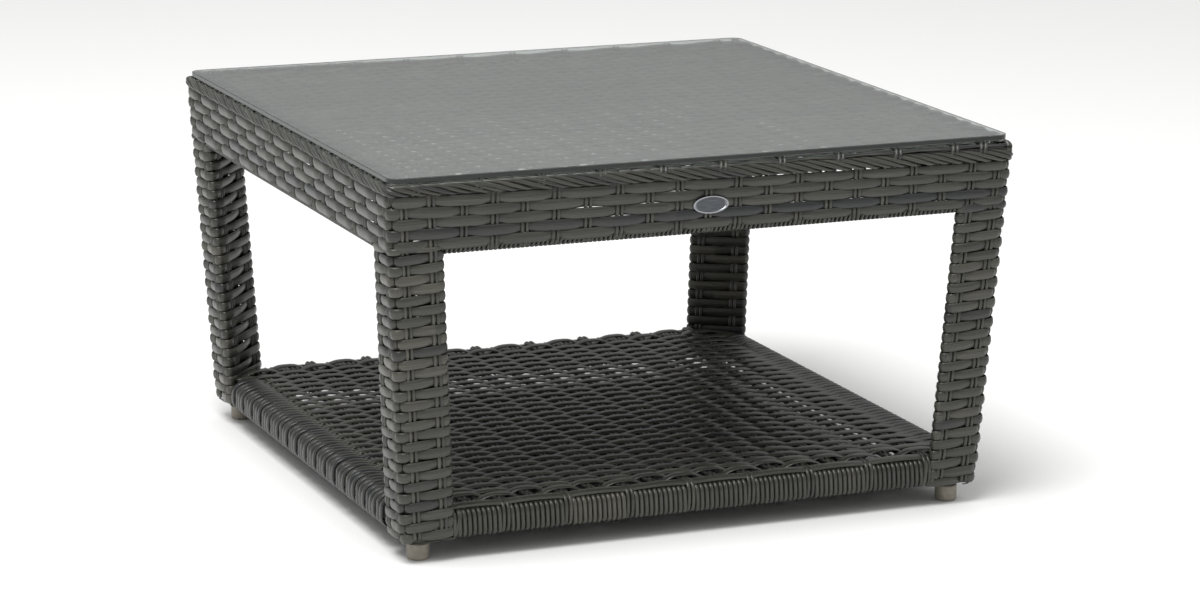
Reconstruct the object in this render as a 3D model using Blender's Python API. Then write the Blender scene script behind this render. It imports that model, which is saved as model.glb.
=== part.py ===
"""Square wicker coffee table: a lift-off glass top over a welded frame of tubes and
rods, woven all over, with a woven shelf near the floor and screw-in levelling glides.

Metres, +Z up. The origin is on the floor, under the middle of the table.
+X runs along the front, which faces -Y and carries the oval badge plate.
"""

import math

import bmesh
import bpy
from mathutils import Vector

# Driving dimensions
HEIGHT = 0.463                  # floor to the top of the glass
TOP_REACH = 0.400               # middle of the table to the woven outer face, at the top
LEAN = 0.0574                   # the outer faces draw in by this much per metre of drop
GAP = 0.0003                    # clearance left between neighbouring pieces

GLASS_WIDTH = 0.790
GLASS_THICKNESS = 0.006
GLASS_CORNER = 0.015
PAD_THICKNESS = 0.003
PAD_RADIUS = 0.006

APRON_BOTTOM = 0.372            # lower edge of the apron, where the legs end
BRAID_BOTTOM = 0.436            # the braided border starts here
BRAID_REACH = 0.4015
BRAID_WIDTH = 0.030
BRAID_SKIN = 0.005
WEAVE_SKIN = 0.005              # wall of the woven apron and of the woven legs

LEG_BOTTOM = 0.0255
LEG_WING = 0.068                # outer corner of a leg to either of its edges
CORNER_ROD_RADIUS = 0.004
EDGE_ROD_RADIUS = 0.0025
APRON_ROD_RADIUS = 0.004
APRON_ROD_DEPTH = 0.008         # apron's outer face to the axis of the rod under it
APRON_ROD_Z = 0.3778
APRON_RING_CORNER = 0.012       # bend radius of the rod at the apron's lower edge
POST_RADIUS = 0.009
POST_WALL = 0.0015
POST_INSET = 0.0292             # leg's outer face to the axis of its post

TOP_RAIL_WIDTH = 0.025
TOP_RAIL_HEIGHT = 0.0130
TOP_WEAVE_THICKNESS = 0.006
RAIL_WALL = 0.002

SHELF_RAIL_WIDTH = 0.020
SHELF_RAIL_HEIGHT = 0.022
SHELF_RAIL_REACH = 0.364
SHELF_MIDDLE = 0.043            # height of the axis of the shelf rails
SHELF_WRAP_REACH = 0.3735
SHELF_WRAP_WIDTH = 0.036
SHELF_WRAP_HEIGHT = 0.0355
SHELF_WRAP_CORNER = 0.010
SHELF_WEAVE_TOP = 0.064
SHELF_WEAVE_THICKNESS = 0.006
SHELF_WEAVE_CORNER = 0.004      # clears the inner face of each leg
CROSS_BAR_WIDTH = 0.018
CROSS_BAR_HEIGHT = 0.008
CROSS_BAR_X_AT = 0.115          # bar along X, behind the middle
CROSS_BAR_Y_AT = 0.215          # bar along Y, right of the middle

BADGE_WIDTH = 0.046
BADGE_HEIGHT = 0.022
BADGE_THICKNESS = 0.0022
BADGE_RIM = 0.0022
BADGE_RECESS = 0.0008
BADGE_Z = 0.4065

GLIDE_RADIUS = 0.0135
GLIDE_ROUNDING = 0.003
GLIDE_HEIGHT = 0.020
STEM_RADIUS = 0.004
STEM_TOP = 0.036
INSERT_FLANGE_RADIUS = 0.0115
INSERT_PLUG_RADIUS = 0.0068
INSERT_TOP = 0.0375

SIDES = ("front", "right", "back", "left")          # each a quarter turn after the last
LEGS = {
    "front_left": (-1, -1),
    "front_right": (1, -1),
    "back_right": (1, 1),
    "back_left": (-1, 1),
}


def clear_scene():
    for thing in list(bpy.data.objects):
        bpy.data.objects.remove(thing, do_unlink=True)


def linear(channel):
    return channel / 12.92 if channel <= 0.04045 else ((channel + 0.055) / 1.055) ** 2.4


def make_material(name, colour, roughness, metallic=0.0):
    """A Principled material from an sRGB hex colour."""
    material = bpy.data.materials.new(name)
    material.use_nodes = True
    shader = material.node_tree.nodes["Principled BSDF"]
    parts = [int(colour[i:i + 2], 16) / 255 for i in (1, 3, 5)]
    shader.inputs["Base Color"].default_value = (*map(linear, parts), 1.0)
    shader.inputs["Roughness"].default_value = roughness
    shader.inputs["Metallic"].default_value = metallic
    return material


def add_object(name, bm, material, smooth_below=30):
    """Turn a finished bmesh into an object with its own mesh and material."""
    bmesh.ops.recalc_face_normals(bm, faces=bm.faces)
    mesh = bpy.data.meshes.new(name)
    bm.to_mesh(mesh)
    bm.free()
    mesh.materials.append(material)
    mesh.shade_smooth()
    mesh.set_sharp_from_angle(angle=math.radians(smooth_below))
    thing = bpy.data.objects.new(name, mesh)
    bpy.context.collection.objects.link(thing)
    return thing


# Outlines, as lists of points in a section plane

def circle(centre_a, centre_b, radius, steps):
    turns = [2 * math.pi * i / steps for i in range(steps)]
    return [(centre_a + radius * math.cos(t), centre_b + radius * math.sin(t)) for t in turns]


def arc(centre_a, centre_b, radius, start, end, steps):
    turns = [math.radians(start + (end - start) * i / steps) for i in range(steps + 1)]
    return [(centre_a + radius * math.cos(t), centre_b + radius * math.sin(t)) for t in turns]


def rounded_box(a_low, a_high, b_low, b_high, radius, steps=3):
    """A rectangle with round corners, or a plain one for a radius of 0."""
    if radius == 0:
        return [(a_low, b_low), (a_high, b_low), (a_high, b_high), (a_low, b_high)]
    corners = (
        (a_high - radius, b_high - radius, 0),
        (a_low + radius, b_high - radius, 90),
        (a_low + radius, b_low + radius, 180),
        (a_high - radius, b_low + radius, 270),
    )
    points = []
    for a, b, start in corners:
        points += arc(a, b, radius, start, start + 90, steps)
    return points


def leg_outline(shrink=0.0):
    """A band pulled tight round the three rods of a leg: corner, edge and edge.

    The points are (u, v), measured inwards from the two outer faces.
    """
    corner = CORNER_ROD_RADIUS + GAP + WEAVE_SKIN
    edge = EDGE_ROD_RADIUS + GAP + WEAVE_SKIN
    far = LEG_WING - edge
    points = arc(corner, corner, corner - shrink, 180, 270, 4)
    points += arc(far, edge, edge - shrink, 270, 405, 6)
    points += arc(edge, far, edge - shrink, 45, 180, 6)
    return points


# Solids

def prism(name, material, place, outline, ends, hole=None, smooth_below=30):
    """A solid whose section is the outline at both ends, placed by place(a, b, end).

    A hole right through it has as many points as the outline, in the same order.
    """
    bm = bmesh.new()
    shells = []
    for points in (outline, hole or []):
        shells.append([[bm.verts.new(place(a, b, end)) for a, b in points] for end in ends])
    for low, high in shells:
        for i in range(len(low)):
            j = (i + 1) % len(low)
            bm.faces.new((low[i], low[j], high[j], high[i]))
    for outer, inner in zip(*shells):
        if not hole:
            bm.faces.new(outer)
            continue
        for i in range(len(outer)):
            j = (i + 1) % len(outer)
            bm.faces.new((outer[i], outer[j], inner[j], inner[i]))
    return add_object(name, bm, material, smooth_below)


def turned(name, material, centre, profile, steps=24):
    """A closed profile of (radius, height) points turned about a vertical axis."""
    bm = bmesh.new()
    rings = []
    for radius, height in profile:
        count = 1 if radius == 0 else steps
        rings.append([
            bm.verts.new((centre[0] + x, centre[1] + y, height))
            for x, y in circle(0, 0, radius, count)
        ])
    for ring, other in zip(rings, rings[1:] + rings[:1]):
        for i in range(steps):
            corners = [
                ring[i % len(ring)],
                ring[(i + 1) % len(ring)],
                other[(i + 1) % len(other)],
                other[i % len(other)],
            ]
            face = list(dict.fromkeys(corners))
            if len(face) > 2:
                bm.faces.new(face)
    return add_object(name, bm, material)


# The frame's own geometry

def reach(z):
    """Middle of the table to the leaning outer faces, at height z."""
    return TOP_REACH - LEAN * (HEIGHT - z)


def turn_to_side(index, x, y, z):
    """A point given for the front side, moved to the side with this index."""
    for _ in range(index):
        x, y = -y, x
    return (x, y, z)


def in_leg(signs):
    """Place (u, v) points of a leg's section at height z."""
    def place(u, v, z):
        return (signs[0] * (reach(z) - u), signs[1] * (reach(z) - v), z)
    return place


def along_side(index, outer, half_length):
    """Place (depth, z) points of a straight bar's section at its end -1 or 1."""
    def place(depth, z, end):
        return turn_to_side(index, end * half_length, depth - outer, z)
    return place


def along_mitred_side(index, outer):
    """The same for a bar whose ends are cut at 45 degrees to meet its neighbours."""
    def place(depth, z, end):
        return turn_to_side(index, end * (outer - depth - GAP / 1.4), depth - outer, z)
    return place


# Sub-parts

def make_glass(material):
    half = GLASS_WIDTH / 2
    glass = prism(
        "glass_top",
        material,
        lambda x, y, z: (x, y, z),
        rounded_box(-half, half, -half, half, GLASS_CORNER, 6),
        (HEIGHT - GLASS_THICKNESS, HEIGHT),
    )
    polish = glass.modifiers.new("polished_edge", "BEVEL")
    polish.width = 0.0008
    polish.segments = 2
    polish.limit_method = "ANGLE"
    polish.angle_limit = math.radians(60)
    return glass


def make_glass_pads(material):
    """A clear dot under each corner of the glass, resting on the braid."""
    at = BRAID_REACH - BRAID_WIDTH / 2
    low = HEIGHT - GLASS_THICKNESS - PAD_THICKNESS + GAP
    high = HEIGHT - GLASS_THICKNESS - GAP
    for name, signs in LEGS.items():
        prism(
            f"glass_pad_{name}",
            material,
            lambda x, y, z: (x, y, z),
            circle(signs[0] * at, signs[1] * at, PAD_RADIUS, 20),
            (low, high),
        )


def make_top_rails(material):
    """Rectangular tubes, mitred into the ring that the braid covers."""
    outer = BRAID_REACH - BRAID_SKIN - GAP
    low = BRAID_BOTTOM
    high = low + TOP_RAIL_HEIGHT - GAP
    for index, side in enumerate(SIDES):
        prism(
            f"top_rail_{side}",
            material,
            along_mitred_side(index, outer),
            rounded_box(0, TOP_RAIL_WIDTH, low, high, 0),
            (-1, 1),
            rounded_box(
                RAIL_WALL, TOP_RAIL_WIDTH - RAIL_WALL, low + RAIL_WALL, high - RAIL_WALL, 0
            ),
        )


def make_top_braids(material):
    """The braided border: a crust over the top and the outer face of each rail."""
    top = HEIGHT - GLASS_THICKNESS - PAD_THICKNESS
    round_over = 0.006
    inside = [
        (BRAID_WIDTH, top),
        (BRAID_WIDTH, top - BRAID_SKIN),
        (BRAID_SKIN, top - BRAID_SKIN),
        (BRAID_SKIN, BRAID_BOTTOM),
        (0.001, BRAID_BOTTOM),
    ]
    outside = arc(round_over, top - round_over, round_over, 180, 90, 4)
    for index, side in enumerate(SIDES):
        prism(
            f"top_braid_{side}",
            material,
            along_mitred_side(index, BRAID_REACH),
            inside + outside,
            (-1, 1),
        )


def make_top_weave(material):
    half = BRAID_REACH - BRAID_SKIN - TOP_RAIL_WIDTH - 3 * GAP
    top = HEIGHT - GLASS_THICKNESS - PAD_THICKNESS - 0.0015
    prism(
        "top_weave",
        material,
        lambda x, y, z: (x, y, z),
        rounded_box(-half, half, -half, half, 0),
        (top - TOP_WEAVE_THICKNESS, top),
    )


def make_aprons(weave):
    """Four woven panels that meet at the corners, above the bent rod."""
    low = APRON_ROD_Z + APRON_ROD_RADIUS + GAP
    skin = [(-1, 0), (1, 0), (1, WEAVE_SKIN), (-1, WEAVE_SKIN)]
    for index, side in enumerate(SIDES):
        def place(end, depth, z, index=index):
            at = reach(z) - depth
            return turn_to_side(index, end * (at - GAP / 1.4), -at, z)
        prism(f"apron_weave_{side}", weave, place, skin, (low, BRAID_BOTTOM - GAP))


def make_apron_ring(metal):
    """One rod bent into a square, welded on top of the rods of all four legs.

    The apron's lower edge is woven round it.
    """
    z = APRON_ROD_Z
    half = reach(z) - APRON_ROD_DEPTH
    path = rounded_box(-half, half, -half, half, APRON_RING_CORNER, 5)
    section = circle(0, 0, APRON_ROD_RADIUS, 12)
    bm = bmesh.new()
    rings = []
    for before, at, after in zip(path[-1:] + path[:-1], path, path[1:] + path[:1]):
        along = Vector(after) - Vector(before)
        outwards = Vector((along.y, -along.x)).normalized()
        rings.append([
            bm.verts.new((at[0] + outwards.x * a, at[1] + outwards.y * a, z + b))
            for a, b in section
        ])
    for ring, other in zip(rings, rings[1:] + rings[:1]):
        for i in range(len(section)):
            j = (i + 1) % len(section)
            bm.faces.new((ring[i], ring[j], other[j], other[i]))
    add_object("apron_ring", bm, metal)


def rail_half_length():
    """Middle of a shelf rail to its end against the post."""
    low = SHELF_MIDDLE - SHELF_RAIL_HEIGHT / 2
    return reach(low) - POST_INSET - POST_RADIUS - 2 * GAP


def make_shelf_rails(metal):
    """Tubes between the posts, just inside the edge rods of the legs."""
    low = SHELF_MIDDLE - SHELF_RAIL_HEIGHT / 2
    high = SHELF_MIDDLE + SHELF_RAIL_HEIGHT / 2
    half = rail_half_length()
    for index, side in enumerate(SIDES):
        prism(
            f"shelf_rail_{side}",
            metal,
            along_side(index, SHELF_RAIL_REACH, half),
            rounded_box(0, SHELF_RAIL_WIDTH, low, high, 0),
            (-1, 1),
            rounded_box(
                RAIL_WALL, SHELF_RAIL_WIDTH - RAIL_WALL, low + RAIL_WALL, high - RAIL_WALL, 0
            ),
        )


def make_shelf_wraps(weave):
    """The strands wound round each shelf rail, from leg to leg."""
    low = SHELF_MIDDLE - SHELF_WRAP_HEIGHT / 2
    high = SHELF_MIDDLE + SHELF_WRAP_HEIGHT / 2
    half = reach(low) - LEG_WING - GAP
    rail_depth = SHELF_WRAP_REACH - SHELF_RAIL_REACH
    for index, side in enumerate(SIDES):
        prism(
            f"shelf_wrap_{side}",
            weave,
            along_side(index, SHELF_WRAP_REACH, half),
            rounded_box(0, SHELF_WRAP_WIDTH, low, high, SHELF_WRAP_CORNER, 4),
            (-1, 1),
            rounded_box(
                rail_depth - GAP,
                rail_depth + SHELF_RAIL_WIDTH + GAP,
                SHELF_MIDDLE - SHELF_RAIL_HEIGHT / 2 - GAP,
                SHELF_MIDDLE + SHELF_RAIL_HEIGHT / 2 + GAP,
                GAP / 2,
                4,
            ),
        )


def make_shelf_weave(weave):
    half = SHELF_WRAP_REACH - SHELF_WRAP_WIDTH - GAP
    prism(
        "shelf_weave",
        weave,
        lambda x, y, z: (x, y, z),
        rounded_box(-half, half, -half, half, SHELF_WEAVE_CORNER),
        (SHELF_WEAVE_TOP - SHELF_WEAVE_THICKNESS, SHELF_WEAVE_TOP),
    )


def make_cross_bars(metal):
    """Two flat bars under the shelf, one across the other, that carry its weave."""
    half = SHELF_WRAP_REACH - SHELF_WRAP_WIDTH - GAP
    high = SHELF_WEAVE_TOP - SHELF_WEAVE_THICKNESS - GAP
    middle = high - CROSS_BAR_HEIGHT
    prism(
        "shelf_cross_bar_x",
        metal,
        lambda y, z, end: (end * half, y + CROSS_BAR_X_AT, z),
        rounded_box(-CROSS_BAR_WIDTH / 2, CROSS_BAR_WIDTH / 2, middle, high, 0),
        (-1, 1),
    )
    prism(
        "shelf_cross_bar_y",
        metal,
        lambda x, z, end: (x + CROSS_BAR_Y_AT, end * half, z),
        rounded_box(
            -CROSS_BAR_WIDTH / 2,
            CROSS_BAR_WIDTH / 2,
            middle - GAP - CROSS_BAR_HEIGHT,
            middle - GAP,
            0,
        ),
        (-1, 1),
    )


def make_rail_window(name, index, end):
    """A cutter for the hole through which a shelf rail enters a leg."""
    bm = bmesh.new()
    low = SHELF_MIDDLE - SHELF_RAIL_HEIGHT / 2 - GAP
    high = SHELF_MIDDLE + SHELF_RAIL_HEIGHT / 2 + GAP
    starts = rail_half_length() + GAP
    reaches = starts - LEG_WING
    corners = []
    for z in (low, high):
        for depth in (-GAP, SHELF_RAIL_WIDTH + GAP):
            for x in (starts, reaches):
                point = turn_to_side(index, end * x, depth - SHELF_RAIL_REACH, z)
                corners.append(bm.verts.new(point))
    bmesh.ops.convex_hull(bm, input=corners)
    mesh = bpy.data.meshes.new(name)
    bmesh.ops.recalc_face_normals(bm, faces=bm.faces)
    bm.to_mesh(mesh)
    bm.free()
    cutter = bpy.data.objects.new(name, mesh)
    cutter.hide_render = True
    cutter.display_type = "WIRE"
    bpy.context.collection.objects.link(cutter)
    return cutter


def rails_into(signs):
    """The two shelf rails that end in a leg, as (side index, end) pairs."""
    rails = []
    for index in range(len(SIDES)):
        for end in (-1, 1):
            x, y, _ = turn_to_side(index, end, -1, 0)
            if (x, y) == signs:
                rails.append((index, end))
    return rails


def make_leg(name, signs, weave, metal):
    """A woven leg: its post, its corner rod, its two edge rods and its woven skin."""
    place = in_leg(signs)
    under_rail = BRAID_BOTTOM - GAP
    under_apron = APRON_BOTTOM - GAP
    under_ring = APRON_ROD_Z - APRON_ROD_RADIUS - GAP
    prism(
        f"leg_post_{name}",
        metal,
        place,
        circle(POST_INSET, POST_INSET, POST_RADIUS, 20),
        (LEG_BOTTOM, under_rail),
        circle(POST_INSET, POST_INSET, POST_RADIUS - POST_WALL, 20),
    )
    corner = CORNER_ROD_RADIUS + GAP + WEAVE_SKIN
    prism(
        f"leg_corner_rod_{name}",
        metal,
        place,
        circle(corner, corner, CORNER_ROD_RADIUS, 12),
        (LEG_BOTTOM, under_ring),
    )
    edge = EDGE_ROD_RADIUS + GAP + WEAVE_SKIN
    far = LEG_WING - edge
    for direction, u, v in (("x", far, edge), ("y", edge, far)):
        prism(
            f"leg_edge_rod_{direction}_{name}",
            metal,
            place,
            circle(u, v, EDGE_ROD_RADIUS, 12),
            (LEG_BOTTOM, under_ring),
        )
    skin = prism(
        f"leg_weave_{name}",
        weave,
        place,
        leg_outline(),
        (LEG_BOTTOM, under_apron),
        leg_outline(WEAVE_SKIN),
    )
    for index, end in rails_into(signs):
        window = skin.modifiers.new("rail_window", "BOOLEAN")
        window.operation = "DIFFERENCE"
        window.object = make_rail_window(f"window_{name}_{index}", index, end)


def make_insert(name, centre, material):
    """The moulded insert that closes a post's lower end and takes the glide's stem."""
    low = GLIDE_HEIGHT + GAP
    bore = STEM_RADIUS + GAP
    turned(
        f"leg_insert_{name}",
        material,
        centre,
        [
            (bore, low),
            (INSERT_FLANGE_RADIUS, low),
            (INSERT_FLANGE_RADIUS, LEG_BOTTOM - GAP),
            (INSERT_PLUG_RADIUS, LEG_BOTTOM - GAP),
            (INSERT_PLUG_RADIUS, INSERT_TOP),
            (bore, INSERT_TOP),
        ],
    )


def make_glide(name, centre, material):
    """A screw-in levelling glide, with its origin on the axis of its stem."""
    round_foot = arc(
        GLIDE_RADIUS - GLIDE_ROUNDING, GLIDE_ROUNDING, GLIDE_ROUNDING, 270, 360, 3
    )
    glide = turned(
        f"glide_{name}",
        material,
        (0, 0),
        [(0, 0)] + round_foot + [
            (GLIDE_RADIUS, GLIDE_HEIGHT - 0.001),
            (GLIDE_RADIUS - 0.001, GLIDE_HEIGHT),
            (STEM_RADIUS, GLIDE_HEIGHT),
            (STEM_RADIUS, STEM_TOP),
            (0, STEM_TOP),
        ],
    )
    glide.location = (*centre, 0)


def make_badge(material):
    """A blank oval plate with a raised rim, lying on the front apron."""
    steps = 40
    bm = bmesh.new()

    def ring(inset, depth):
        points = []
        for a, b in circle(0, 0, 1, steps):
            x = a * (BADGE_WIDTH / 2 - inset)
            up = b * (BADGE_HEIGHT / 2 - inset)
            points.append(bm.verts.new((x, -depth, up)))
        return points

    back = ring(0, 0)
    front = ring(0.0005, BADGE_THICKNESS)
    rim = ring(BADGE_RIM, BADGE_THICKNESS)
    field = ring(BADGE_RIM + 0.0006, BADGE_THICKNESS - BADGE_RECESS)
    for outer, inner in ((back, front), (front, rim), (rim, field)):
        for i in range(steps):
            j = (i + 1) % steps
            bm.faces.new((outer[i], outer[j], inner[j], inner[i]))
    bm.faces.new(back)
    bm.faces.new(field)
    badge = add_object("badge_plate", bm, material)
    badge.location = (0, -reach(BADGE_Z) - 2 * GAP, BADGE_Z)
    badge.rotation_euler = (math.atan(LEAN), 0, 0)


def main():
    clear_scene()
    weave = make_material("pe_rattan", "#5A524B", 0.50)
    metal = make_material("powder_coated_aluminium", "#3E3936", 0.45)
    glass = make_material("tempered_glass", "#C9D6D1", 0.05)
    silicone = make_material("clear_silicone", "#DADAD6", 0.25)
    nylon = make_material("moulded_nylon", "#8E8679", 0.55)
    black_nylon = make_material("black_nylon", "#262423", 0.50)
    steel = make_material("stamped_stainless", "#C4C6C7", 0.30, 1.0)

    make_glass(glass)
    make_glass_pads(silicone)
    make_top_rails(metal)
    make_top_braids(weave)
    make_top_weave(weave)
    make_aprons(weave)
    make_apron_ring(metal)
    make_shelf_rails(metal)
    make_shelf_wraps(weave)
    make_shelf_weave(weave)
    make_cross_bars(metal)
    make_badge(steel)
    glide_at = reach((LEG_BOTTOM + INSERT_TOP) / 2) - POST_INSET
    for name, signs in LEGS.items():
        centre = (signs[0] * glide_at, signs[1] * glide_at)
        make_leg(name, signs, weave, metal)
        make_insert(name, centre, black_nylon)
        make_glide(name, centre, nylon)


main()
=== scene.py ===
"""Visual model of a square wicker coffee table, woven strand by strand over its frame.

Metres, +Z up, origin on the floor under the middle of the table. +X runs along the
front, which faces -Y and carries the oval badge plate.
"""

import math

import bpy
import numpy as np
from bpy.props import FloatProperty, FloatVectorProperty, IntProperty, PointerProperty
from mathutils import Matrix, Vector


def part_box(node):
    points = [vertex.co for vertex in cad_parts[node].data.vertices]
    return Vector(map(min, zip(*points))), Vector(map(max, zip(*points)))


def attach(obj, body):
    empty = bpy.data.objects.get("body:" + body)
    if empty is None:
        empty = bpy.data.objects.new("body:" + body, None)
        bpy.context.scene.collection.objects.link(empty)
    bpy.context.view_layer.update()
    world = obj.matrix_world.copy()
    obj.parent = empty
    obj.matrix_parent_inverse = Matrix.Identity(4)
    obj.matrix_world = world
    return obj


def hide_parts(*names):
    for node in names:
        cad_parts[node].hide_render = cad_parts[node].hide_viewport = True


bl_info = {
    "name": "Wicker Coffee Table",
    "version": (1, 0, 0),
    "blender": (4, 5, 0),
    "location": "3D View > Sidebar > Wicker Table",
    "description": "Weaves a square garden coffee table over its welded frame",
    "category": "Object",
}

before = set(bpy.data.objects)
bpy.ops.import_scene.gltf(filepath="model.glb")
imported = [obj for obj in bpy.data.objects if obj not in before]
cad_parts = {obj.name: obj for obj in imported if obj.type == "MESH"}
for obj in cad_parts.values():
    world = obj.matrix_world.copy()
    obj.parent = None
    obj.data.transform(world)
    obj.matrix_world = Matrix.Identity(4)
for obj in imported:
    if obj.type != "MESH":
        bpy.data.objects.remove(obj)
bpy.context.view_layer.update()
SIDES = ("front", "right", "back", "left")
LEGS = ("front_left", "front_right", "back_right", "back_left")

GLASS_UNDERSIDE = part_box("glass_top")[0].z
TABLE_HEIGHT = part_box("glass_top")[1].z
BORDER_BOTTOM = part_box("top_braid_front")[0].z
BORDER_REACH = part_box("top_braid_right")[1].x
LEG_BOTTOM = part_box("leg_weave_front_left")[0].z
LEG_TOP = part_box("leg_weave_front_left")[1].z
SHELF_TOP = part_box("shelf_weave")[1].z
RAIL_LOW, RAIL_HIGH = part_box("shelf_wrap_front")
TOP_WEAVE_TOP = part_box("top_weave")[1].z
TOP_WEAVE_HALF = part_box("top_weave")[1].x
RING_Z = (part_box("apron_ring")[0].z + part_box("apron_ring")[1].z) / 2

# The outer faces lean: they draw in by LEAN for each metre further down.
TOP_REACH = 0.400
LEAN = 0.0574

# A leg's outline: (u, v) run inwards from its two outer faces.
CORNER_AT = 0.0093
EDGE_AT = 0.0078
EDGE_FAR = 0.0602
NEAR_STAKE = 0.0190
FAR_STAKE = 0.0526
DIAGONAL_STAKE = 0.0120
WEAVE_DEPTH = 0.0031            # outer face of the weave to the middle of it
WEAVER_SWING = 0.0020
STAKE_DEPTH = 0.0036
STAKE_SWING = 0.0010
PAIR_HALF = 0.0029              # a stake pair's middle to each of its two strands
APRON_FOOT = 0.3775             # lower edge of the apron's last row
ROWS_TOP = 0.4362               # upper edge of its first row, in the middle of the table
ROWS_FALL = 0.0135              # the rows were beaten down more towards +X, per metre
APRON_ROWS = 5
SIDE_STAKES = 21                # stake pairs of a side, with those of its two legs
LEG_WIDTH = 0.064
CORNER_ROD = 0.0064
BORDER_CORNER = 0.0125          # corner radius of the border's outline
GLASS_ROOM = 0.0042             # middle of the rope's highest strand to the glass
WANDER = 0.0005                 # how far a row strays up and down
TOP_STAKE_PITCH = 0.0386
PAINTED_LIGHT_UNDER_GLASS = 2.4                     # how much paler the strands under the glass are painted: painted light for the lamp light the glass keeps from them
UP = (0.0, 0.0, 1.0)


# Settings that a user may change

def linear(channel):
    return channel / 12.92 if channel <= 0.04045 else ((channel + 0.055) / 1.055) ** 2.4


def colour(code):
    """An sRGB hex colour as linear red, green and blue."""
    return tuple(linear(int(code[i:i + 2], 16) / 255) for i in (1, 3, 5))


def shade_property(name, description, code):
    return FloatVectorProperty(
        name=name, description=description, default=colour(code), subtype="COLOR",
        size=3, min=0.0, max=1.0,
    )


def length_property(name, description, default):
    return FloatProperty(
        name=name, description=description, default=default, unit="LENGTH"
    )


class StrandSizes(bpy.types.PropertyGroup):
    """Sizes of the strands and of the weave."""

    weaver_width: length_property(
        "Weaver width", "Width of the flat strand that runs across the stakes", 0.0130
    )
    weaver_thickness: length_property(
        "Weaver thickness", "Thickness of the flat strand, without its crown", 0.0016
    )
    weaver_crown: length_property(
        "Weaver crown", "How far the middle of the flat strand stands above its edges", 0.0014
    )
    row_pitch: length_property(
        "Row pitch", "Distance from one row of weavers to the next", 0.0124
    )
    stake_diameter: length_property(
        "Stake diameter", "Diameter of the round strands, which stand in pairs", 0.0050
    )
    braid_diameter: length_property(
        "Braid strand diameter", "Diameter of the strands of the border's rope", 0.0050
    )
    winding_diameter: length_property(
        "Winding diameter", "Diameter of the strand wound round the shelf's long rails", 0.0056
    )
    shelf_stake_pitch: length_property(
        "Shelf stake pitch", "Distance from one stake pair of the shelf to the next", 0.0394
    )
    border_groups: IntProperty(
        name="Border groups",
        description="Number of strand pairs that make up the border's rope",
        default=84,
        min=40,
    )


class FinishColours(bpy.types.PropertyGroup):
    """Colours of the finishes."""

    charcoal: shade_property("Charcoal strand", "The coolest, darkest strands", "#262829")
    ash: shade_property("Ash strand", "Most of the strands", "#3C3D37")
    driftwood: shade_property("Driftwood strand", "The lightest, warmest strands", "#535148")
    coating: shade_property("Powder coat", "Coating of the tubes and rods", "#2F2D2B")
    nylon: shade_property("Glide nylon", "Moulded feet", "#8C867A")
    glass_edge: shade_property("Glass tint", "Tint seen in the glass's edge", "#0A100D")


class StudioSettings(bpy.types.PropertyGroup):
    """Light of the studio."""

    sky: FloatProperty(
        name="Sky strength", description="Strength of the even light from all round",
        default=1.0, min=0.0
    )
    key: FloatProperty(
        name="Key light", description="Power of the large soft light above the table",
        default=225.0, min=0.0, unit="POWER"
    )


# Materials

class Finish:
    """A material with one Principled shader, and short ways to add nodes to it."""

    def __init__(self, name, **inputs):
        self.material = bpy.data.materials.new(name)
        self.material.use_nodes = True
        self.tree = self.material.node_tree
        self.shader = self.tree.nodes["Principled BSDF"]
        self.feed(**inputs)

    def feed(self, **inputs):
        """Set or link the shader's inputs; an underscore stands for a space."""
        for name, value in inputs.items():
            fill(self.tree, self.shader.inputs[name.replace("_", " ")], value)

    def place(self, kind="Object"):
        return add_node(self.tree, "ShaderNodeTexCoord").outputs[kind]

    def maths(self, operation, *values, clamp=False):
        inputs = dict(enumerate(values))
        settings = {"operation": operation, "use_clamp": clamp}
        return add_node(self.tree, "ShaderNodeMath", inputs, **settings).outputs[0]

    def vector(self, operation, *values):
        inputs = dict(enumerate(values))
        node = add_node(self.tree, "ShaderNodeVectorMath", inputs, operation=operation)
        return node.outputs["Value" if operation == "LENGTH" else 0]

    def parts(self, vector):
        return add_node(self.tree, "ShaderNodeSeparateXYZ", {"Vector": vector}).outputs

    def noise(self, place, scale=1.0, detail=2.0, roughness=0.5):
        inputs = {"Vector": place, "Scale": scale, "Detail": detail, "Roughness": roughness}
        return add_node(self.tree, "ShaderNodeTexNoise", inputs).outputs["Fac"]

    def ramp(self, value, *stops):
        """A colour for each value, from stops of (position, linear colour)."""
        return ramp(self.tree, value, stops)

    def span(self, value, low=0.0, high=1.0, first=0.0, last=1.0):
        """A value brought from first..last to low..high."""
        inputs = {"Value": value, "From Min": first, "From Max": last}
        inputs.update({"To Min": low, "To Max": high})
        return add_node(self.tree, "ShaderNodeMapRange", inputs).outputs[0]

    def mix(self, factor, a, b, blend="MIX"):
        settings = {"data_type": "RGBA", "blend_type": blend}
        node = add_node(self.tree, "ShaderNodeMix", {"Factor": factor}, **settings)
        fill(self.tree, node.inputs["A"], a)
        fill(self.tree, node.inputs["B"], b)
        return node.outputs["Result"]

    def emboss(self, height, distance, strength=1.0):
        """Relief of a given depth, in metres."""
        inputs = {"Height": height, "Distance": distance, "Strength": strength}
        self.feed(Normal=add_node(self.tree, "ShaderNodeBump", inputs).outputs["Normal"])


def fill(tree, socket, value):
    """Give a socket a value, a colour or a link."""
    if isinstance(value, bpy.types.NodeSocket):
        tree.links.new(value, socket)
    elif socket.type == "RGBA":
        socket.default_value = (*value, 1.0)
    else:
        socket.default_value = value


def add_node(tree, kind, inputs=None, **settings):
    """One node with its settings, its input values and the links into it."""
    node = tree.nodes.new(kind)
    for key, value in settings.items():
        setattr(node, key, value)
    for key, value in (inputs or {}).items():
        fill(tree, node.inputs[key], value)
    return node


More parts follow.
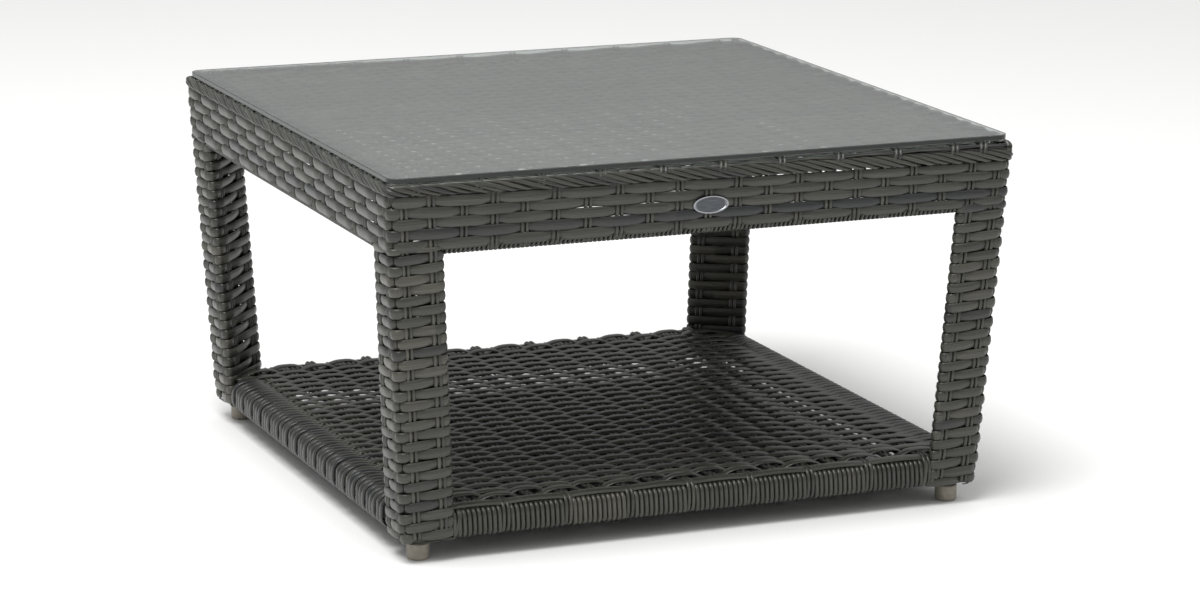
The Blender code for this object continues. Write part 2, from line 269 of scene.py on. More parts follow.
def ramp(tree, value, stops):
    node = add_node(tree, "ShaderNodeValToRGB", {"Fac": value})
    elements = node.color_ramp.elements
    while len(elements) < len(stops):
        elements.new(0.5)
    for element, (position, shade) in zip(elements, stops):
        element.position = position
        element.color = (*shade, 1.0)
    return node.outputs["Color"]


def dimmed(shade, amount):
    return tuple(channel * amount for channel in shade)


def extruded_rattan(colours, name="extruded_pe_rattan", lift=1.0):
    """Polyethylene strand, drawn through a ribbed die and dyed in the mass.

    The die leaves fine lengthwise lines and streaks. The plastic has a low satin sheen,
    and each reel of strand has its own tone between charcoal and driftwood. The strand's
    marks hold the distance along it, the distance round it and its tone.
    """
    if name in bpy.data.materials:
        return bpy.data.materials[name]
    finish = Finish(name, IOR=1.5)
    marks = add_node(finish.tree, "ShaderNodeAttribute", attribute_name="strand")
    strand = marks.outputs["Vector"]
    _, around, tone = finish.parts(strand)
    # Streaks about 60 mm long and 1.3 mm wide, different on every strand.
    stretched = finish.vector("MULTIPLY", strand, (16.0, 760.0, 37.0))
    streaks = finish.noise(stretched, detail=3.0, roughness=0.6)
    # Slow change of tone, a hand's width long.
    cloud = finish.noise(finish.vector("MULTIPLY", strand, (7.0, 0.0, 91.0)), detail=1.0)
    shifted = finish.maths("MULTIPLY_ADD", cloud, 0.36, tone)
    # Above 1, lift brightens every colour of the strand as painted light.
    body = finish.ramp(
        finish.maths("SUBTRACT", shifted, 0.18, clamp=True),
        (0.0, dimmed(colours.charcoal, lift)),
        (0.30, dimmed(colours.ash, 0.84 * lift)),
        (0.62, dimmed(colours.ash, lift)),
        (1.0, dimmed(colours.driftwood, lift)),
    )
    grain = finish.ramp(streaks, (0.30, (0.50, 0.50, 0.52)), (0.74, (1.40, 1.38, 1.33)))
    finish.feed(
        Base_Color=finish.mix(1.0, body, grain, "MULTIPLY"),
        Roughness=finish.span(streaks, 0.22, 0.42),
    )
    # Die lines every 1.5 mm round the strand, 0.06 mm deep.
    lines = finish.maths("SINE", finish.maths("MULTIPLY", around, 2 * math.pi / 0.0015))
    finish.emboss(finish.maths("MULTIPLY_ADD", lines, 0.28, streaks), 0.00012)
    return finish.material


def powder_coat(colours):
    """Aluminium tube under a baked powder coat: even, dark, with a fine orange peel."""
    name = "powder_coated_aluminium_satin"
    if name in bpy.data.materials:
        return bpy.data.materials[name]
    finish = Finish(name, Roughness=0.5)
    peel = finish.noise(finish.place(), 700.0)
    tint = finish.ramp(peel, (0.3, dimmed(colours.coating, 0.85)), (0.7, colours.coating))
    finish.feed(Base_Color=tint)
    finish.emboss(peel, 0.00008, 0.6)
    return finish.material


def tempered_glass(colours):
    """Float glass with polished edges, clear through its faces and green-black along them.

    Light that enters an edge travels far inside the pane, where the iron in the glass
    takes it up, so the edges hardly let any through.
    """
    finish = Finish("tempered_float_glass", Roughness=0.03, IOR=1.52)
    upright = finish.maths("ABSOLUTE", finish.parts(finish.place("Normal"))[2])
    face = finish.span(upright, first=0.3, last=0.9)
    # Roller waves of the tempering furnace, about 0.25 m long and hardly there.
    wave = finish.noise(finish.place(), 4.0, 0.0)
    clear = finish.ramp(wave, (0.0, colour("#D6DEDA")), (1.0, colour("#DEE6E2")))
    finish.feed(
        Base_Color=finish.mix(face, colours.glass_edge, clear),
        Transmission_Weight=finish.span(face, 0.03, 1.0),
    )
    finish.emboss(wave, 0.0004, 0.3)
    return finish.material


def clear_silicone():
    """Clear silicone dots: slightly hazy, soft-looking."""
    finish = Finish("clear_silicone_dot", Roughness=0.25, IOR=1.41, Transmission_Weight=0.8)
    haze = finish.noise(finish.place(), 400.0)
    tint = finish.ramp(haze, (0.2, colour("#C9CAC6")), (0.8, colour("#E3E3DF")))
    finish.feed(Base_Color=tint)
    return finish.material


def moulded_nylon(name, shade, roughness):
    """Injection-moulded nylon: matt, with a fine spark-eroded skin and faint mottling."""
    finish = Finish(name, Roughness=roughness, IOR=1.53)
    place = finish.place()
    mottle = finish.noise(place, 130.0, 4.0)
    tint = finish.ramp(mottle, (0.3, dimmed(shade, 0.72)), (0.7, dimmed(shade, 1.1)))
    finish.feed(Base_Color=tint)
    finish.emboss(finish.noise(place, 1800.0, 1.0), 0.00006, 0.8)
    return finish.material


def stamped_stainless():
    """Stainless plate: a satin field, brushed along its length, inside a polished rim, with a
    painted reflection darkening the field and a painted highlight lightening the rim.
    """
    finish = Finish("stamped_stainless_brushed", Metallic=1.0)
    place = finish.place()
    low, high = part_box("badge_plate")
    middle, half = (low + high) / 2, (high - low) / 2
    # Distance from the middle, 1 at the plate's outline; the rim is 2.2 mm wide.
    centred = finish.vector("SUBTRACT", place, middle)
    scaled = finish.vector("MULTIPLY", centred, (1 / half.x, 0.0, 1 / half.z))
    rim = finish.span(finish.vector("LENGTH", scaled), first=0.80, last=0.86)
    brushing = finish.noise(finish.vector("MULTIPLY", place, (90.0, 2600.0, 2600.0)))
    # The satin field's dark colour is a painted reflection of dark surroundings; the rim's lighter
    # colour is a painted highlight.
    satin = finish.ramp(brushing, (0.3, colour("#494B4F")), (0.7, colour("#65686C")))
    finish.feed(
        Base_Color=finish.mix(rim, satin, colour("#909296")),
        Roughness=finish.span(rim, 0.42, 0.16),
    )
    return finish.material


def studio_paper():
    """Matt white paper with a faint fibre."""
    finish = Finish("studio_paper", Roughness=0.9)
    fibre = finish.noise(finish.place(), 300.0)
    tint = finish.ramp(fibre, (0.3, colour("#F1F1F0")), (0.7, colour("#F4F4F3")))
    finish.feed(Base_Color=tint)
    return finish.material


# Strand geometry

def ease(t):
    t = np.clip(t, 0.0, 1.0)
    return t * t * (3 - 2 * t)


def flat_section(width, thickness, crown, count=12):
    """Section of a flat strand with rounded edges and a crowned outer face."""
    turn = 2 * np.pi * np.arange(count) / count
    across = width / 2 * np.sign(np.cos(turn)) * np.abs(np.cos(turn)) ** 0.65
    up = thickness / 2 * np.sign(np.sin(turn)) * np.abs(np.sin(turn)) ** 0.75
    up = up + crown * (1 - (2 * across / width) ** 2)
    return np.stack([across, up], 1)


def round_section(diameter, count=8):
    turn = 2 * np.pi * np.arange(count) / count
    return diameter / 2 * np.stack([np.cos(turn), np.sin(turn)], 1)


def directions(path, closed=False):
    """Unit directions along a path."""
    if closed:
        along = np.roll(path, -1, 0) - np.roll(path, 1, 0)
    else:
        along = np.vstack([path[1:], path[-1:]]) - np.vstack([path[:1], path[:-1]])
    return along / np.linalg.norm(along, axis=1, keepdims=True)


class Bundle:
    """Strands gathered to become one piece of the table."""

    def __init__(self):
        self.points = []
        self.quads = []
        self.ends = []
        self.marks = []
        self.total = 0

    def lay(self, path, out, section, tone, width=1.0, closed=False):
        """Add a strand along a path, its crowned side turned outwards."""
        path = np.asarray(path, float)
        count, sides = len(path), len(section)
        along = directions(path, closed)
        out = np.broadcast_to(np.asarray(out, float), path.shape)
        across = np.cross(out, along)
        across /= np.linalg.norm(across, axis=1, keepdims=True)
        up = np.cross(along, across)
        width = np.broadcast_to(np.asarray(width, float), (count,))
        rings = (
            path[:, None, :]
            + across[:, None, :] * (section[None, :, :1] * width[:, None, None])
            + up[:, None, :] * section[None, :, 1:]
        )
        ids = self.total + np.arange(count * sides).reshape(count, sides)
        turned = np.roll(ids, -1, 1)
        here, there = slice(None, -1), slice(1, None)
        quads = [np.stack([ids[here], turned[here], turned[there], ids[there]], 2)]
        if closed:
            quads.append(np.stack([ids[-1:], turned[-1:], turned[:1], ids[:1]], 2))
        else:
            self.ends.append(ids[0][::-1].tolist())
            self.ends.append(ids[-1].tolist())
        self.quads += [block.reshape(-1, 4) for block in quads]
        self.points.append(rings.reshape(-1, 3))
        steps = np.linalg.norm(np.diff(path, axis=0), axis=1)
        length = np.concatenate([[0.0], np.cumsum(steps)])
        edges = np.linalg.norm(np.roll(section, -1, 0) - section, axis=1)
        around = np.concatenate([[0.0], np.cumsum(edges)[:-1]])
        mark = np.empty((count, sides, 3))
        mark[..., 0] = length[:, None]
        mark[..., 1] = around[None, :]
        mark[..., 2] = np.broadcast_to(np.asarray(tone, float), (count,))[:, None]
        self.marks.append(mark.reshape(-1, 3))
        self.total += count * sides

    def piece(self, name, material, slot="pe_rattan"):
        """Make the bundle one object that rides on the table."""
        mesh = bpy.data.meshes.new(name)
        faces = np.concatenate(self.quads).tolist() + self.ends
        mesh.from_pydata(np.concatenate(self.points), [], faces)
        mesh.shade_smooth()
        marks = mesh.attributes.new("strand", "FLOAT_VECTOR", "POINT")
        marks.data.foreach_set("vector", np.concatenate(self.marks).ravel())
        mesh.materials.append(material)
        thing = bpy.data.objects.new(name, mesh)
        bpy.context.scene.collection.objects.link(thing)
        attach(thing, "table")
        return thing


class Outline:
    """A closed outline of round corners and straight runs, walked anticlockwise.

    A corner is (centre a, centre b, radius, first angle, last angle); angles in degrees.
    """

    def __init__(self, corners):
        self.parts = []
        self.starts = [0.0]
        for corner, following in zip(corners, corners[1:] + corners[:1]):
            a, b, radius, first, last = corner
            first, last = math.radians(first), math.radians(last)
            centre = np.array([a, b])
            end = centre + radius * np.array([math.cos(last), math.sin(last)])
            turn = math.radians(following[3])
            begin = np.array(following[:2]) + following[2] * np.array(
                [math.cos(turn), math.sin(turn)]
            )
            self.parts.append((centre, radius, first, None))
            self.starts.append(self.starts[-1] + radius * (last - first))
            self.parts.append((end, 0.0, last, begin))
            self.starts.append(self.starts[-1] + np.linalg.norm(begin - end))
        self.length = self.starts[-1]

    def at(self, distance):
        """Points and outward directions at distances along the outline."""
        distance = np.mod(np.asarray(distance, float), self.length)
        index = np.searchsorted(self.starts, distance, side="right") - 1
        points = np.empty((len(distance), 2))
        out = np.empty((len(distance), 2))
        for number, (origin, radius, angle, target) in enumerate(self.parts):
            mine = index == number
            gone = distance[mine] - self.starts[number]
            turn = angle + (gone / radius if radius else 0 * gone)
            out[mine] = np.stack([np.cos(turn), np.sin(turn)], 1)
            if target is None:
                points[mine] = origin + radius * out[mine]
            else:
                run = self.starts[number + 1] - self.starts[number]
                points[mine] = origin + (target - origin) * (gone / run)[:, None]
        return points, out


def rounded_rectangle(a_low, a_high, b_low, b_high, radius):
    return Outline([
        (a_high - radius, b_low + radius, radius, -90, 0),
        (a_high - radius, b_high - radius, radius, 0, 90),
        (a_low + radius, b_high - radius, radius, 90, 180),
        (a_low + radius, b_low + radius, radius, 180, 270),
    ])


def rounded_square(half, radius):
    return rounded_rectangle(-half, half, -half, half, radius)


def over_and_under(at, stops, levels, hold=0.12, dwell=1.0):
    """Levels held for a moment at each stop and eased from one stop to the next.

    With a dwell above 1 a strand keeps to its higher level for most of the way.
    """
    stops, levels = np.asarray(stops, float), np.asarray(levels, float)
    i = np.clip(np.searchsorted(stops, at, side="right") - 1, 0, len(stops) - 2)
    t = np.clip((at - stops[i]) / (stops[i + 1] - stops[i]), 0.0, 1.0)
    t = np.where(levels[i + 1] < levels[i], t**dwell, 1 - (1 - t)**dwell)
    return levels[i] + (levels[i + 1] - levels[i]) * ease((t - hold) / (1 - 2 * hold))


def samples_between(stops, each):
    """Evenly spread samples from stop to stop; each is a count or one count per gap."""
    counts = np.broadcast_to(each, (len(stops) - 1,))
    runs = [
        np.linspace(a, b, count, endpoint=False)
        for a, b, count in zip(stops[:-1], stops[1:], counts)
    ]
    return np.concatenate(runs + [[stops[-1]]])


def smooth_run(controls, steps):
    """A smooth run through rows of numbers, with steps samples between neighbours."""
    rows = np.asarray(controls, float)
    rows = np.vstack([2 * rows[0] - rows[1], rows, 2 * rows[-1] - rows[-2]])
    t = (np.arange(steps) / steps)[None, :, None]
    a, b, c, d = (rows[i:len(rows) - 3 + i, None, :] for i in range(4))
    run = b + t * (c - a) / 2 + t**2 * (a - 2.5 * b + 2 * c - d / 2)
    run = run + t**3 * (1.5 * (b - c) + (d - a) / 2)
    return np.vstack([run.reshape(-1, rows.shape[1]), rows[-2]])


def bend(a, b, c, d, steps):
    """A Bezier bend from a to d, without its first point."""
    a, b, c, d = (np.array(point) for point in (a, b, c, d))
    t = (np.arange(1, steps + 1) / steps)[:, None]
    return (1 - t)**3 * a + 3 * (1 - t)**2 * t * b + 3 * (1 - t) * t**2 * c + t**3 * d


def quarter_turns(points, index):
    """Points given for the front side, turned to another side."""
    for _ in range(index):
        points = np.stack([-points[:, 1], points[:, 0], points[:, 2]], 1)
    return points


def reach(z):
    """Middle of the table to its leaning outer faces, at height z."""
    return TOP_REACH - LEAN * (TABLE_HEIGHT - z)


def leaning_out(path, closed=False):
    """Outward directions of a strand that goes anticlockwise round the table or a leg."""
    along = directions(path, closed)
    return np.stack([along[:, 1], -along[:, 0], np.full(len(path), -LEAN)], 1)


def corner_bend(over):
    """A weaver at an outer corner, as (u, v), between the stakes beside the corner.

    It goes round the corner on the outside, or turns in sharply and is pulled down on
    the corner rod.
    """
    if over:
        turns = np.radians(np.linspace(180, 270, 6))
        radius = CORNER_AT - 0.0012
        arc = CORNER_AT + radius * np.stack([np.cos(turns), np.sin(turns)], 1)
        before = np.array([[0.0046, 0.0162], [0.0026, 0.0126]])
        return np.vstack([before, arc, before[::-1, ::-1]])
    outer = WEAVE_DEPTH - WEAVER_SWING
    turn_in = bend(
        (outer, NEAR_STAKE), (outer - 0.0002, 0.0104), (0.0018, 0.0066), (0.0079, 0.0079), 8
    )
    return np.vstack([turn_in, turn_in[-2::-1, ::-1]])


def stake_levels(crossings):
    """Heights and depths of a stake, from (height, weaver is over) crossings."""
    heights = [z for z, _ in crossings]
    depths = [STAKE_DEPTH + (STAKE_SWING if over else -STAKE_SWING) for _, over in crossings]
    return heights, depths


def rows_top(x):
    """Where the rope of the border meets the apron's first row."""
    return ROWS_TOP - ROWS_FALL * x


def row_height(row, x):
    """Middle height of one of the apron's rows, numbered from the top."""
    top = rows_top(x)
    return top - (top - APRON_FOOT) * (row + 0.5) / APRON_ROWS


def apron_stakes(z):
    """Places of a side's stake pairs at height z, spaced by hand."""
    count = SIDE_STAKES - 2
    inner = np.linspace(-1, 1, count)
    drift = 0.0016 * np.sin(5.3 * np.arange(count) + 1.7) * (1 - inner**8)
    ends = reach(z) - NEAR_STAKE
    middle = inner * (reach(z) - FAR_STAKE) + drift
    return np.concatenate([[-ends], middle, [ends]])


def weaver_is_over(row, stake):
    """Rows of the apron alternate, and so do neighbouring stakes."""
    return (row + stake) % 2 == 0


def leg_stations():
    """A leg's outline, and the distances of its stakes and bends along it."""
    mid = CORNER_AT - WEAVE_DEPTH
    edge = EDGE_AT - WEAVE_DEPTH
    outline = Outline([
        (CORNER_AT, CORNER_AT, mid, 180, 270),
        (EDGE_FAR, EDGE_AT, edge, 270, 405),
        (EDGE_AT, EDGE_FAR, edge, 45, 180),
    ])
    starts = outline.starts
    stations = {
        "front_near": starts[1] + NEAR_STAKE - CORNER_AT,
        "front_far": starts[1] + FAR_STAKE - CORNER_AT,
        "front_edge": starts[2],
        "diagonal_start": starts[3],
        "diagonal_first": starts[3] + DIAGONAL_STAKE,
        "diagonal_second": starts[4] - DIAGONAL_STAKE,
        "diagonal_end": starts[4],
        "side_edge": starts[5],
        "side_far": starts[5] + EDGE_FAR - FAR_STAKE,
        "side_near": starts[5] + EDGE_FAR - NEAR_STAKE,
    }
    return outline, stations


LEG_STAKES = (
    "front_near", "front_far", "diagonal_first", "diagonal_second", "side_far", "side_near"
)


def leg_turn(turn, outline, stations):
    """One turn of the weaver round a leg, as rows of u, v and share of the turn.

    With the corner rod a leg has seven uprights, so the weaver, which never stops,
    goes over in one turn what it went under in the turn before.
    """
    over_corner = turn % 2 == 1
    count = len(corner_bend(over_corner))
    before = stations["side_near"] / outline.length - 1
    after = stations["front_near"] / outline.length
    share = before + (after - before) * np.arange(1, count + 1) / (count + 1)
    corner = np.column_stack([corner_bend(over_corner), share])
    levels = dict.fromkeys(stations, 0.0)
    for number, stake in enumerate(LEG_STAKES):
        over = (number + turn) % 2 == 0
        levels[stake] = WEAVER_SWING if over else -WEAVER_SWING
    stops = list(stations.values())
    # More samples where the weaver swings, fewer round the edges.
    walk = samples_between(stops, (10, 3, 6, 3, 10, 3, 6, 3, 10))
    points, out = outline.at(walk)
    swing = over_and_under(walk, stops, list(levels.values()), hold=0.10, dwell=1.9)
    points = points + out * swing[:, None]
    return np.vstack([corner, np.column_stack([points, walk / outline.length])])


def in_leg(u, v, z, inset=0.0):
    """Table coordinates of a point of the front left leg."""
    half = reach(z) - inset
    return np.stack([u - half, v - half, z], 1)


# Pieces

def wind_leg(index, turns, sizes, random, bundle):
    """One flat weaver, wound up a leg turn by turn."""
    outline, stations = leg_stations()
    pitch = sizes.row_pitch
    rows = np.vstack([
        leg_turn(turn, outline, stations) + (0, 0, turn) for turn in range(turns)
    ])
    turned = rows[:, 2]
    z = LEG_BOTTOM + pitch * (turned - 0.5)
    low = np.maximum(z - pitch / 2, LEG_BOTTOM)
    high = np.minimum(z + pitch / 2, APRON_FOOT + 0.004)
    share = np.clip((high - low) / pitch, 0.06, 1.0)
    z = (low + high) / 2
    knots = np.arange(turns * 5 + 6)
    z = z + WANDER * np.interp(turned * 5, knots, random.normal(size=len(knots)))
    # The first turn is drawn in to close the foot of the leg.
    inset = 0.0030 * (1 - ease((z - LEG_BOTTOM) / 0.014))
    path = quarter_turns(in_leg(rows[:, 0], rows[:, 1], z, inset), index)
    # Each reel of strand lasts a turn and a quarter; up to three of them are dark.
    reels = random.uniform(0.25, 0.85, turns + 3)
    reels[random.integers(0, turns, 3)] = 0.14
    tone = reels[np.clip(turned * 0.8 + 1, 0, turns + 2).astype(int)]
    weaver = flat_section(sizes.weaver_width, sizes.weaver_thickness, sizes.weaver_crown)
    bundle.lay(path, leaning_out(path), weaver, tone, 0.94 * share)


def leg_crossings(index, stake, share, turns, pitch):
    """Where a leg's stake meets weavers, upwards, as (height, weaver is over)."""
    number = LEG_STAKES.index(stake)
    crossings = []
    for turn in range(turns):
        height = LEG_BOTTOM + pitch * (turn + share - 0.5)
        if LEG_BOTTOM + 0.004 < height < APRON_FOOT - 0.004:
            crossings.append((height, (number + turn) % 2 == 0))
    if stake.startswith("diagonal"):
        return [*crossings, (APRON_FOOT + 0.008, not crossings[-1][1])]
    # The outer faces' stakes go on up through the apron.
    place = 0 if stake.endswith("near") else 1
    if stake.startswith("side"):
        place = SIDE_STAKES - 1 - place
    corner_x = (-1, 1, 1, -1)[index] * reach(LEG_TOP)
    for row in reversed(range(APRON_ROWS)):
        crossings.append((row_height(row, corner_x), weaver_is_over(row, place)))
    return crossings


def stand_leg_stakes(index, turns, sizes, random, bundle):
    """A leg's six stake pairs, from under its lowest turn up into the apron."""
    outline, stations = leg_stations()
    section = round_section(sizes.stake_diameter)
    for stake in LEG_STAKES:
        distance = stations[stake]
        share = distance / outline.length
        crossings = leg_crossings(index, stake, share, turns, sizes.row_pitch)
        heights, depths = stake_levels(crossings)
        heights = [LEG_BOTTOM + 0.0022, *heights, heights[-1] + 0.008]
        depths = [WEAVE_DEPTH + 0.0065, *depths, depths[-1] + 0.001]
        walk = samples_between(heights, 4)
        depth = over_and_under(walk, heights, depths, hold=0.05)
        point, out = outline.at([distance])
        sideways = np.array([-out[0, 1], out[0, 0]])
        away = quarter_turns(np.array([[*out[0], 0.0]]), index)
        for half in (-PAIR_HALF, PAIR_HALF):
            plan = point[0] + out[0] * (WEAVE_DEPTH - depth)[:, None] + sideways * half
            path = quarter_turns(in_leg(plan[:, 0], plan[:, 1], walk), index)
            bundle.lay(path, away, section, random.uniform(0.25, 0.8))


def weave_leg(index, sizes, random, material):
    bundle = Bundle()
    turns = round((APRON_FOOT - LEG_BOTTOM) / sizes.row_pitch) + 2
    wind_leg(index, turns, sizes, random, bundle)
    stand_leg_stakes(index, turns, sizes, random, bundle)
    name = LEGS[index]
    piece = bundle.piece(f"leg_strands_{name}", material)
    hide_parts(f"leg_weave_{name}")


def stand_corner_rod(index, material):
    """The rod in a leg's outer corner, seen in the slots between the weavers."""
    bundle = Bundle()
    z = np.linspace(LEG_BOTTOM + 0.002, BORDER_BOTTOM + 0.008, 12)
    depth = np.full(len(z), CORNER_AT + 0.0020)
    path = quarter_turns(in_leg(depth, depth, z), index)
    bundle.lay(path, (1.0, 0.0, 0.0), round_section(CORNER_ROD, 12), 0.0)
    name = LEGS[index]
    piece = bundle.piece(f"corner_rod_{name}", material, slot="powder_coated_aluminium")
    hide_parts(f"leg_corner_rod_{name}")


class WICKER_OT_weave_legs(bpy.types.Operator):
    """Wind one flat weaver up each leg, in and out of its stake pairs"""

    bl_idname = "wicker.weave_legs"
    bl_label = "Weave Legs"

    def execute(self, context):
        sizes = context.scene.wicker_sizes
        material = extruded_rattan(context.scene.wicker_colours)
        for index in range(4):
            weave_leg(index, sizes, np.random.default_rng(40 + index), material)
            stand_corner_rod(index, powder_coat(context.scene.wicker_colours))
        return {"FINISHED"}


def apron_row(row):
    """One closed row of the apron, all the way round the table."""
    over_corner = not weaver_is_over(row, 0)
    sides = []
    for index in range(4):
        corner = corner_bend(over_corner)
        zero = np.zeros(len(corner))
        flat = [in_leg(corner[:, 0], corner[:, 1], zero + TABLE_HEIGHT)]
        middle = row_height(row, 0.0)
        stops = apron_stakes(middle) * TOP_REACH / reach(middle)
        levels = [
            WEAVER_SWING if weaver_is_over(row, number) else -WEAVER_SWING
            for number in range(len(stops))
        ]
        walk = samples_between(stops, 10)
        swing = over_and_under(walk, stops, levels, hold=0.10, dwell=2.2)
        face = WEAVE_DEPTH - TOP_REACH - swing
        flat.append(np.stack([walk, face, 0 * walk], 1))
        sides.append(quarter_turns(np.vstack(flat), index))
    path = np.vstack(sides)
    path[:, 2] = row_height(row, path[:, 0])
    half = np.abs(path[:, :2]).max(1, keepdims=True)
    path[:, :2] *= (half - TOP_REACH + reach(path[:, 2:])) / half
    return path


class WICKER_OT_weave_aprons(bpy.types.Operator):
    """Weave five rows round the table below the border, and bind their lower edge"""

    bl_idname = "wicker.weave_aprons"
    bl_label = "Weave Aprons"

    def execute(self, context):
        sizes = context.scene.wicker_sizes
        material = extruded_rattan(context.scene.wicker_colours)
        random = np.random.default_rng(7)
        weaver = flat_section(sizes.weaver_width, sizes.weaver_thickness, sizes.weaver_crown)
        # Tones of the rows from the top; the fourth comes from a dark reel.
        tones = (0.62, 0.45, 0.55, 0.06, 0.40)
        bundle = Bundle()
        for row, row_tone in enumerate(tones):
            path = apron_row(row)
            wander = WANDER * random.normal(size=60)
            places = np.linspace(0, 60, len(path), endpoint=False)
            path[:, 2] += np.interp(places, np.arange(61), np.append(wander, wander[0]))
            reels = random.normal(0, 0.08, 9)
            tone = row_tone + reels[(places / 7).astype(int)]
            # Each row overlaps the next a little.
            pitch = (rows_top(path[:, 0]) - APRON_FOOT) / APRON_ROWS
            width = 1.08 * pitch / sizes.weaver_width
            bundle.lay(path, leaning_out(path, True), weaver, tone, width, closed=True)
        piece = bundle.piece("apron_weavers", material)
        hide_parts(*(f"apron_weave_{side}" for side in SIDES))
        self.stand_stakes(sizes, random, material)
        self.bind_edge(random, material)
        return {"FINISHED"}

    def stand_stakes(self, sizes, random, material):
        """Stake pairs hooked under the rod at the apron's lower edge."""
        section = round_section(sizes.stake_diameter)
        bundle = Bundle()
        places = apron_stakes(row_height(2, 0.0))
        for index in range(4):
            for number in range(2, SIDE_STAKES - 2):
                at = quarter_turns(np.array([[places[number], -TOP_REACH, 0.0]]), index)
                crossings = [
                    (row_height(row, at[0, 0]), weaver_is_over(row, number))
                    for row in reversed(range(APRON_ROWS))
                ]
                heights, depths = stake_levels(crossings)
                heights = [*heights, heights[-1] + 0.009]
                depths = [*depths, depths[-1] + 0.001]
                walk = samples_between(heights, 4)
                depth = over_and_under(walk, heights, depths, hold=0.05)
                foot = heights[0]
                hook = smooth_run([
                    (RING_Z, 0.0150),
                    (RING_Z - 0.0034, 0.0128),
                    (RING_Z - 0.0044, 0.0090),
                    (RING_Z - 0.0028, 0.0046),
                    (foot - 0.0020, (depths[0] + 0.0036) / 2),
                ], 2)[:-1]
                run = np.vstack([hook, np.column_stack([walk, depth])])
                for half in (-PAIR_HALF, PAIR_HALF):
                    x = np.full(len(run), places[number] + half)
                    y = -(reach(run[:, 0]) - run[:, 1])
                    path = quarter_turns(np.stack([x, y, run[:, 0]], 1), index)
                    out = quarter_turns(np.array([[0.0, -1.0, 0.1]]), index)
                    bundle.lay(path, out, section, random.uniform(0.25, 0.8))
        bundle.piece("apron_stakes", material)

    def bind_edge(self, random, material):
        """A thin strand bound round the rod at the apron's lower edge."""
        bundle = Bundle()
        section = round_section(0.0038, 6)
        pitch = 0.0056
        depth = 0.0080
        radius = 0.0056
        half = reach(RING_Z) - LEG_WIDTH
        turns = int(2 * half / pitch)
        for index in range(4):
            turn = np.linspace(0, turns, turns * 12 + 1)
            angle = 2 * np.pi * turn
            x = -half + pitch * turn
            y = -(reach(RING_Z) - depth) - radius * np.cos(angle)
            z = RING_Z + radius * np.sin(angle)
            out = np.stack([0 * angle, -np.cos(angle), np.sin(angle)], 1)
            path = quarter_turns(np.stack([x, y, z], 1), index)
            bundle.lay(path, quarter_turns(out, index), section, random.uniform(0.2, 0.6))
        bundle.piece("apron_edge_binding", material)


